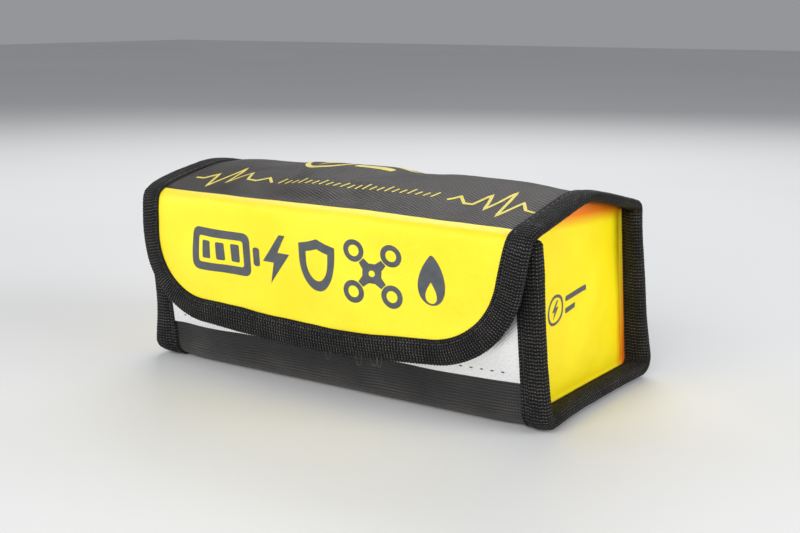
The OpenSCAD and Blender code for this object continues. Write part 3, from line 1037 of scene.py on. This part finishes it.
def end_sheet(name, under, thick, material, side, start, sewn_from):
    """One ply of an end panel, that far under its outer face: its area and its flange in the rim."""
    walls, ss, roof = end_outline(RIM_T - under + FILLET, start)
    x_face = END_X - under
    flat, faces = fill([np.concatenate([walls, roof])], 1.2)
    x = x_face + end_bulge(flat[:, 0], flat[:, 1], side)
    points = np.stack([x, flat[:, 0], flat[:, 1]], axis=1)
    pattern = flat.copy()
    sewn = ss > sewn_from
    skipped, count = int((~sewn).sum()), int(sewn.sum())
    ahead = headings(walls)[sewn]
    walls, ss = walls[sewn], ss[sewn]
    outward = np.stack([ahead[:, 1], -ahead[:, 0]], axis=1)
    rows = [(FILLET * math.sin(a), FILLET * (1 - math.cos(a))) for a in np.radians([30, 60, 90])]
    rows += [(FILLET, rise) for rise in np.linspace(FILLET + 0.8, PLY_X - END_X, 5)]
    before = list(range(skipped, skipped + count))
    faces = [tuple(face) for face in faces]
    for out, rise in rows:
        ring = walls + out * outward
        first = len(points)
        out_x, out_y, up = flare(side * (x_face + rise) * np.ones(count), ss)
        moved = (x_face + rise + side * out_x, ring[:, 0] + out_y, ring[:, 1] + up)
        points = np.concatenate([points, np.column_stack(moved)])
        pattern = np.concatenate([pattern, walls + (out + rise) * outward])
        faces += [(before[i], before[i + 1], first + i + 1, first + i) for i in range(count - 1)]
        before = list(range(first, first + count))
    points = points * np.array([side, 1, 1])
    corners = np.concatenate([np.array(face) for face in faces])
    piece = make_mesh(name, points, faces, pattern[corners] * MM, material)
    turn_outward(piece, side)
    solid = piece.modifiers.new("thickness", "SOLIDIFY")
    solid.thickness = thick * MM
    solid.offset = -1.0
    return piece


def end_hem(name, side):
    """The panel's top edge: its yellow cloth folded over and sewn down inside.

    Its pattern is the panel's own, so that the print and its painted shade under the lid run on from one to
    the other.
    """
    _, _, roof = end_outline(RIM_T + FILLET)
    line, at = along_line(roof, 1.0)
    half = PLIES_T / 2 + 0.25
    turn = np.linspace(0, math.pi, 8)
    outer = [(half, -HEM_H), (half, -1.5)] + [(half * math.cos(a), half * math.sin(a) - half) for a in turn]
    outer += [(-half, -1.5), (-half, -HEM_H)]
    inner = [(-half + 0.3, -HEM_H), (-half + 0.3, -half), (half - 0.3, -half), (half - 0.3, -HEM_H)]
    ring = np.array(outer + inner)
    bulge = end_bulge(line[:, 0], line[:, 1] - 3, side)
    x = side * (END_X - PLIES_T / 2 + bulge[:, None] + ring[None, :, 0])
    z = line[:, 1:] + 0.45 + ring[None, :, 1]
    y = np.broadcast_to(line[:, :1], z.shape)
    piece = swept(name, np.stack([x, y, z], axis=-1), line[:, 0], np.zeros(len(ring) + 1), END_YELLOW)
    # v is the true height, so the painted shade under the lid falls on the hem as it does on the panel.
    pattern = piece.data.uv_layers.active.data
    for corner in piece.data.loops:
        pattern[corner.index].uv.y = piece.data.vertices[corner.vertex_index].co.z
    return piece


def make_ends():
    """Both end panels, each with its yellow cloth, felt and lining."""
    plies = [
        ("end_cloth_", "print_yellow", "end_panel_", 0.0, OUTER_T, END_YELLOW, CLOTH_START, CLOTH_SEWN),
        ("end_felt_", "felt_grey", "end_padding_", PAD_D, PAD_T, FELT, PLY_START, PLY_SEWN),
        ("end_lining_", "silver_foil", "end_lining_", LINING_D, LINING_T, LINING, PLY_START, PLY_SEWN),
    ]
    for side, word in ((1, "right"), (-1, "left")):
        for name, slot, node, under, thick, material, start, sewn_from in plies:
            piece = end_sheet(name + word, under, thick, material, side, start, sewn_from)
            belongs(piece, "body", slot, node + word)
        hem = end_hem("end_hem_" + word, side)
        belongs(hem, "body", "print_yellow")


# ---------------------------------------------------------------- the front wall

FACING_Z = box_mm("front_facing")[0][2]
SEAM_Z = box_mm("facing_stitches")[0][2] + 0.25


def s_at_height(z):
    """How far down the front wall a height is."""
    return (FRONT_H - z) / -unit(FRONT_BOTTOM - FRONT_TOP)[1]


def slant(x):
    """How much higher the facing's lower edge lies than the frame's, more so to the right."""
    return 0.45 + 0.5 * x / END_X + 0.25 * (x / END_X) ** 2


def across_bag(name, ring, widths, step, material, moved=lambda x, s: s):
    """A closed section of (s, d) points swept right across the bag, each point to its own width."""
    share = np.linspace(-1, 1, round(2 * max(widths) / step) + 1)
    x = share[:, None] * np.array(widths)[None, :]
    s, d = (np.broadcast_to(ring[:, k], x.shape) for k in (0, 1))
    sides = np.hypot(*np.diff(np.vstack([ring, ring[:1]]), axis=0).T)
    v = np.concatenate([[0], np.cumsum(sides)])
    return swept(name, place(x, moved(x, s), d), x[:, 0], v, material)


def make_front():
    """The silver facing of the front wall and its stitches."""
    down = s_at_height(FACING_Z)
    outside, inside = -GAP - LINING_T, PLIES_T + GAP + LINING_T
    middle, r = (outside + inside) / 2, (inside - outside) / 2
    turn = np.radians(np.linspace(-90, 90, 11))
    ss = np.linspace(down, 0, 34)
    outer = [(s, outside) for s in ss]
    outer += [(-r * math.cos(a), middle + r * math.sin(a)) for a in turn]
    outer += [(s, inside) for s in np.linspace(0.5, 12, 10)]
    r -= LINING_T
    inner = [(s, inside - LINING_T) for s in np.linspace(12, 0.5, 4)]
    inner += [(-r * math.cos(a), middle + r * math.sin(a)) for a in turn[::-2]]
    inner += [(s, outside + LINING_T) for s in np.linspace(0, down, 12)]
    ring = np.array(outer + inner)
    widths = [END_X + 1.5 if d < 0.3 and s > 2 else END_X - 1.4 for s, d in ring]

    def lifted(x, s):
        return s - slant(x) * smooth(s / down)

    facing = across_bag("front_facing_cloth", ring, widths, 1.1, SILVER, lifted)
    belongs(facing, "body", "silver_foil", "front_facing")
    at = np.arange(-END_X + 1, END_X - 1, 0.5)
    path = np.stack([at, s_at_height(SEAM_Z) - slant(at)], axis=1)
    normal = np.tile([0.0, 1.0], (len(at), 1))
    seam = stitch_row("facing_seam", path, normal, at, 0.0, outside - 0.02, 3.1, 1.2, 0.17)
    belongs(seam, "body", "thread_grey", "facing_stitches")


# ---------------------------------------------------------------- hook and loop

def pad_ring(low, high, near, far):
    """The rounded section of a pad from s low to high, and from depth near to far."""
    r = 0.25
    corners = [(high, near), (high, far), (low, far), (low, near)]
    inward = [(-1, 1), (-1, -1), (1, -1), (1, 1)]
    sign = 1 if far > near else -1
    ring = []
    for k, ((s, d), (a, b)) in enumerate(zip(corners, inward)):
        before, after = [(0, b), (a, 0)] if k % 2 else [(a, 0), (0, b)]
        for t in (0.0, 0.5, 1.0):
            mix = [r * (p * (1 - t) + q * t) * (0.6 if t == 0.5 else 1) for p, q in zip(before, after)]
            ring.append((s + mix[0], d + sign * mix[1]))
    return np.array(ring)


def little_hairs(name, half, low, high, base, sign, spacing, shape, radius, seed):
    """A field of small hooks or loops. shape holds (along, height) points of one of them."""
    rng = np.random.RandomState(seed)
    xs = np.arange(-half + 0.9, half - 0.8, spacing)
    ss = np.arange(low + 0.8, high - 0.7, spacing)
    s, x = (a.ravel() for a in np.meshgrid(ss, xs, indexing="ij"))
    x = x + rng.uniform(-0.3, 0.3, len(x)) * spacing
    s = s + rng.uniform(-0.3, 0.3, len(s)) * spacing
    turn = rng.uniform(-1.3, 1.3, len(x)) + rng.choice([0, math.pi], len(x))
    size = rng.uniform(0.75, 1.25, len(x))
    along, height = (np.array(shape)[:, k][None, :] * size[:, None] for k in (0, 1))
    px = x[:, None] + along * np.cos(turn)[:, None]
    ps = s[:, None] + along * np.sin(turn)[:, None]
    centres = place(px, ps, base + sign * height)
    ups = np.cross(np.gradient(centres, axis=1), place(px, ps, base + sign) - place(px, ps, base))
    return tubes(name, centres, ups, radius, BLACK_THREAD, 4)


def make_closure():
    """The hook strip on the front wall and the loop strip on the back of the flap."""
    hook_low, hook_high = box_mm("hook_strip")
    half = hook_high[0]
    near, far = -GAP * 2 - LINING_T, -LINING_T - 0.8
    low, high = s_at_height(hook_high[2]), s_at_height(hook_low[2])
    hooks = across_bag("hook_tape", pad_ring(low, high, near, far), [half] * 12, 2.0, TAPE)
    belongs(hooks, "body", "hook_black", "hook_strip")
    hook = [(0, -0.05), (0, 0.35), (0.05, 0.6), (0.24, 0.68), (0.36, 0.5)]
    hairs = little_hairs("hook_hooks", half, low, high, far, -1, 1.5, hook, 0.075, 3)
    belongs(hairs, "body", "hook_black")
    loop_low, loop_high = box_mm("loop_strip")
    near, far = PLIES_T + GAP, PLIES_T + 0.9
    low, high = (S_CREASE + (CREASE_Z - z) / math.cos(FLAP_TILT) for z in (loop_high[2], loop_low[2]))
    loops = across_bag("loop_tape", pad_ring(low, high, near, far), [half] * 12, 2.0, TAPE)
    belongs(loops, "flap", "loop_black", "loop_strip")
    arch = [(-0.5, -0.05), (-0.42, 0.3), (0, 0.52), (0.42, 0.3), (0.5, -0.05)]
    fuzz = little_hairs("loop_loops", half, low, high, far, 1, 1.1, arch, 0.05, 4)
    belongs(fuzz, "flap", "loop_black")


# ---------------------------------------------------------------- the prints

def turned(points, degrees, centre=(0, 0)):
    """Points turned anticlockwise about a centre."""
    a = math.radians(degrees)
    points = np.asarray(points, float) - centre
    return points @ np.array([[math.cos(a), math.sin(a)], [-math.sin(a), math.cos(a)]]) + centre


def ring_loop(x, y, radius, count=24):
    """A circle's outline."""
    a = np.linspace(0, 2 * math.pi, count, endpoint=False)
    return np.stack([x + radius * np.cos(a), y + radius * np.sin(a)], axis=1)


def block(x, y, width, height, corner=0.5):
    """A rectangle with rounded corners about its centre."""
    a, b, r = width / 2, height / 2, min(corner, width / 2.01, height / 2.01)
    points = []
    for turn, (cx, cy) in enumerate([(a - r, b - r), (r - a, b - r), (r - a, r - b), (a - r, r - b)]):
        for t in np.linspace(turn * math.pi / 2, (turn + 1) * math.pi / 2, 5):
            points.append((x + cx + r * math.cos(t), y + cy + r * math.sin(t)))
    return np.array(points)


def battery_icon():
    """A battery lying on its side, with three bars in it."""
    loops = [block(-1.2, 0, 20.5, 12.5, 2.2), block(-1.2, 0, 15.7, 7.7, 0.8)]
    loops.append(block(11.2, 0, 2.2, 5.4, 0.8))
    return loops + [block(-6.2 + 5.0 * k, 0, 2.9, 5.2, 0.5) for k in range(3)]


def bolt_icon():
    """A lightning bolt."""
    left = [(1.6, 7.2), (-4.6, -1.2), (-0.9, -1.2), (-2.2, -7.2)]
    return [np.array(left + [(4.6, 1.9), (0.6, 1.9), (3.6, 7.2)])]


def shield_half(size):
    """The right half of a shield's outline, from the top."""
    t = np.linspace(0, 1, 12)
    side = np.stack([5.8 * np.cos(t * 1.45), 1.5 - 8.8 * np.sin(t * 1.45)], axis=1)
    return np.concatenate([[(0, 7.3), (2.8, 6.3), (5.8, 5.6)], side]) * size


def shield_icon():
    """A shield with a wide border."""
    halves = [shield_half(size) for size in (1.0, 0.62)]
    return [np.concatenate([right, right[:0:-1] * [-1, 1]]) for right in halves]


def copter_icon():
    """A copter with four rotors, from above."""
    arm, tip = 0.95, 4.6
    quarter = [(tip, -arm), (tip, arm), (arm + 1.6, arm + 0.3), (arm + 0.3, arm + 1.6)]
    cross = np.concatenate([turned(quarter, 90 * k) for k in range(4)])
    loops = [turned(cross, 45), ring_loop(0, 0, 0.9, 12)]
    for k in range(4):
        x, y = turned([(7.9, 0)], 45 + 90 * k)[0]
        loops += [ring_loop(x, y, 3.1), ring_loop(x, y, 1.6)]
    return loops


def flame_icon():
    """A flame with a smaller one in it."""
    t = np.linspace(0, 2 * math.pi, 40, endpoint=False)
    wide = 4.9 * np.sin(t / 2) ** 0.9 * np.sin(t)
    bent = 0.9 * np.cos(t / 2) * np.exp(-((t - 1) / 1.2) ** 2)
    outer = np.stack([wide + bent, 0.4 + 6.8 * np.cos(t)], axis=1)
    inner = np.stack([2.3 * np.sin(t / 2) ** 1.2 * np.sin(t), -3.0 + 2.9 * np.cos(t)], axis=1)
    return [outer, inner]


FLAP_SIGNS = (
    (battery_icon, -31.5), (bolt_icon, -12.4), (shield_icon, 2.0), (copter_icon, 20.5), (flame_icon, 38.6))
SIGN_SIZE, SIGN_TILT, SIGN_DROP = 1.06, -1.2, 15.3  # the flap's signs, and how far below the crease


def decal(name, flat, faces, material, body, slot):
    """Ink a few hundredths of a millimetre thick on the outer face of the cloth."""
    top, bottom = (place(flat[:, 0], flat[:, 1], depth) for depth in (-0.05, -0.01))
    piece = shell(name, flat, faces, top, bottom, material)
    return belongs(piece, body, slot)


def merged(parts):
    """Several meshes of flat points and faces as one."""
    flat, faces, first = [], [], 0
    for points, some in parts:
        flat.append(points)
        faces += [tuple(i + first for i in face) for face in some]
        first += len(points)
    return np.concatenate(flat), faces


def ribbon(points, width):
    """A band of that width along a line with corners, as flat points and quads."""
    line, corner = [], []
    points = np.asarray(points, float)
    for a, b in zip(points, points[1:]):
        steps = max(2, math.ceil(np.linalg.norm(b - a) / 1.2))
        line += [a + (b - a) * k / steps for k in range(steps)]
    line = np.array(line + [points[-1]])
    ahead = np.diff(line, axis=0)
    ahead /= np.linalg.norm(ahead, axis=1)[:, None]
    before, after = np.vstack([ahead[:1], ahead]), np.vstack([ahead, ahead[-1:]])
    mean = before + after
    mean /= np.linalg.norm(mean, axis=1)[:, None] + 1e-9
    side = np.stack([-mean[:, 1], mean[:, 0]], axis=1)
    stretch = np.minimum(1 / np.maximum((mean * after).sum(1), 0.05), 1.9)[:, None]
    half = side * stretch * width / 2
    flat = np.stack([line - half, line + half], axis=1).reshape(-1, 2)
    return flat, [tuple(face) for face in grid_faces(len(line), 2).tolist()]


def dense(loop, step=0.8):
    """The same closed outline with its points no more than a step apart."""
    loop = np.asarray(loop, float)
    points = []
    for a, b in zip(loop, np.roll(loop, -1, axis=0)):
        count = max(1, math.ceil(np.linalg.norm(b - a) / step))
        points += [a + (b - a) * k / count for k in range(count)]
    return np.array(points)


LID_ROW = S_CREASE - 16  # base line of the lid's row of signs
PULSE = (0, 3, 0, 0, 6, -3, 10, -6, 4, 0, 0)  # heights of one heartbeat's corners


def pulse_line(start, end):
    """A plain heartbeat line from one x to another: points (x, s), up from the lid's row of signs."""
    return [(x, LID_ROW - up) for x, up in zip(np.linspace(start, end, len(PULSE)), PULSE)]


def power_sign(x, y, size):
    """A small ring with a bolt in it and two bars beside it: a plain sign for power."""
    loops = [ring_loop(0, 0, 4.3, 32), ring_loop(0, 0, 3.5, 32)]
    loops += [loop * 0.36 for loop in bolt_icon()]
    loops += [block(12, 1.7, 13, 1.5, 0.4), block(8.8, -1.7, 6.6, 1.5, 0.4)]
    return [dense(loop * size) + [x, y] for loop in loops]


def make_prints():
    """Slate signs on the flap, and yellow pulse lines, ticks and a power sign on the lid."""
    rows = []
    for icon, x in FLAP_SIGNS:
        loops = [dense(turned(loop * SIGN_SIZE, SIGN_TILT)) * [1, -1] for loop in icon()]
        flat, faces = fill(loops, 1.1)
        rows.append((flat + [x, S_CREASE + SIGN_DROP], faces))
    decal("flap_signs", *merged(rows), SLATE_INK, "flap", "print_yellow")
    bands = [ribbon(pulse_line(start, end), 0.9) for start, end in ((34, 60), (-26, -56))]
    for k in range(22):
        x, tall = -23 + 2.5 * k, 2.2 + 1.1 * (k % 3 == 0)
        bands.append(ribbon([(x - 0.5, LID_ROW), (x + 0.5, LID_ROW - tall)], 0.6))
    sign = [loop * [1, -1] + [0, S_CREASE - 38] for loop in power_sign(-20, 0, 2.0)]
    bands.append(fill(sign, 1.2))
    decal("lid_pulse", *merged(bands), YELLOW_INK, "lid", "lid_charcoal")


def make_end_marks():
    """A small sign on each end panel: a bolt in a ring, with two bars beside it."""
    for side, word in ((1, "right"), (-1, "left")):
        flat, faces = fill([turned(loop, 4, (0, 28)) for loop in power_sign(-8, 28.5, 1.0)], 0.9)
        if side < 0:
            flat = flat * [-1, 1] + [6, 0]
        face = END_X + end_bulge(flat[:, 0], flat[:, 1], side)
        high, low = (side * (face + up) for up in (0.06, 0.01))
        top, bottom = (np.stack([x, flat[:, 0], flat[:, 1]], axis=1) for x in (high, low))
        mark = shell("end_mark_" + word, flat * [-side, 1], faces, top, bottom, SLATE_INK)
        belongs(mark, "body", "print_yellow")


make_cloths()
make_bindings()
make_ends()
make_front()
make_closure()
make_prints()
make_end_marks()


# ---------------------------------------------------------------- camera, light and floor

CAMERA_AZIMUTH, CAMERA_ELEVATION, CAMERA_DISTANCE = 34.4, 11.8, 366.0
CAMERA_TARGET = np.array([1.8, 3.9, 30.9])
CAMERA_LENS = 55.3
SOFTBOXES = (  # name, azimuth, elevation, distance, size, watts
    ("key", 8, 26, 800, (600, 500), 4.6), ("fill", 95, 20, 800, (500, 400), 3.7),
    ("back", 205, 35, 800, (700, 300), 2.6), ("side", 282, 20, 800, (500, 400), 1.6))


def aim(obj, target):
    """Turns a lamp or the camera towards a point."""
    direction = Vector(np.asarray(target) * MM) - obj.location
    obj.rotation_mode = "QUATERNION"
    obj.rotation_quaternion = direction.to_track_quat("-Z", "Y")


def from_side(azimuth, elevation, distance):
    """A point that far from the bag, at an azimuth and elevation as the camera's are counted."""
    a, e = math.radians(azimuth), math.radians(elevation)
    back = np.array([math.sin(a) * math.cos(e), -math.cos(a) * math.cos(e), math.sin(e)])
    return CAMERA_TARGET + distance * back


def add_camera():
    """The camera, and its place in front of the bag."""
    data = bpy.data.cameras.new("camera")
    data.lens = CAMERA_LENS
    data.sensor_width = 36.0
    data.clip_start = 0.01
    camera = bpy.data.objects.new("camera", data)
    bpy.context.scene.collection.objects.link(camera)
    camera.location = Vector(from_side(CAMERA_AZIMUTH, CAMERA_ELEVATION, CAMERA_DISTANCE) * MM)
    aim(camera, CAMERA_TARGET)
    bpy.context.scene.camera = camera


def add_softbox(name, azimuth, elevation, distance, size, watts):
    """A lamp with a wide white face, turned to the bag."""
    data = bpy.data.lights.new(name, "AREA")
    data.shape = "RECTANGLE"
    data.size, data.size_y = size[0] * MM, size[1] * MM
    data.energy = watts
    lamp = bpy.data.objects.new(name, data)
    bpy.context.scene.collection.objects.link(lamp)
    lamp.location = Vector(from_side(azimuth, elevation, distance) * MM)
    aim(lamp, CAMERA_TARGET)


def add_floor():
    """A wide sheet of pale paper under the bag."""
    mesh = bpy.data.meshes.new("floor")
    half = 3.0
    corners = [(-half, -half, 0), (half, -half, 0), (half, half, 0), (-half, half, 0)]
    mesh.from_pydata(corners, [], [(0, 1, 2, 3)])
    floor = bpy.data.objects.new("floor", mesh)
    bpy.context.scene.collection.objects.link(floor)
    material, tree, shader = new_material("floor_paper")
    place_of = tree.nodes.new("ShaderNodeTexCoord")
    mottle = speckle(tree, place_of.outputs["Object"], 400, 3.0)
    stops = [(0.3, (0.72, 0.72, 0.72)), (0.7, (0.76, 0.76, 0.76))]
    feed(tree, shader.inputs["Base Color"], ramp(tree, mottle, stops))
    shader.inputs["Roughness"].default_value = 0.6
    mesh.materials.append(material)


def add_world():
    """An even, faintly blue light from all round."""
    world = bpy.data.worlds.new("studio")
    world.use_nodes = True
    background = world.node_tree.nodes["Background"]
    background.inputs[0].default_value = (0.93, 0.95, 1.0, 1.0)
    background.inputs[1].default_value = 0.32
    bpy.context.scene.world = world
    bpy.context.scene.view_settings.view_transform = "Standard"


add_camera()
add_floor()
add_world()
for softbox in SOFTBOXES:
    add_softbox(*softbox)
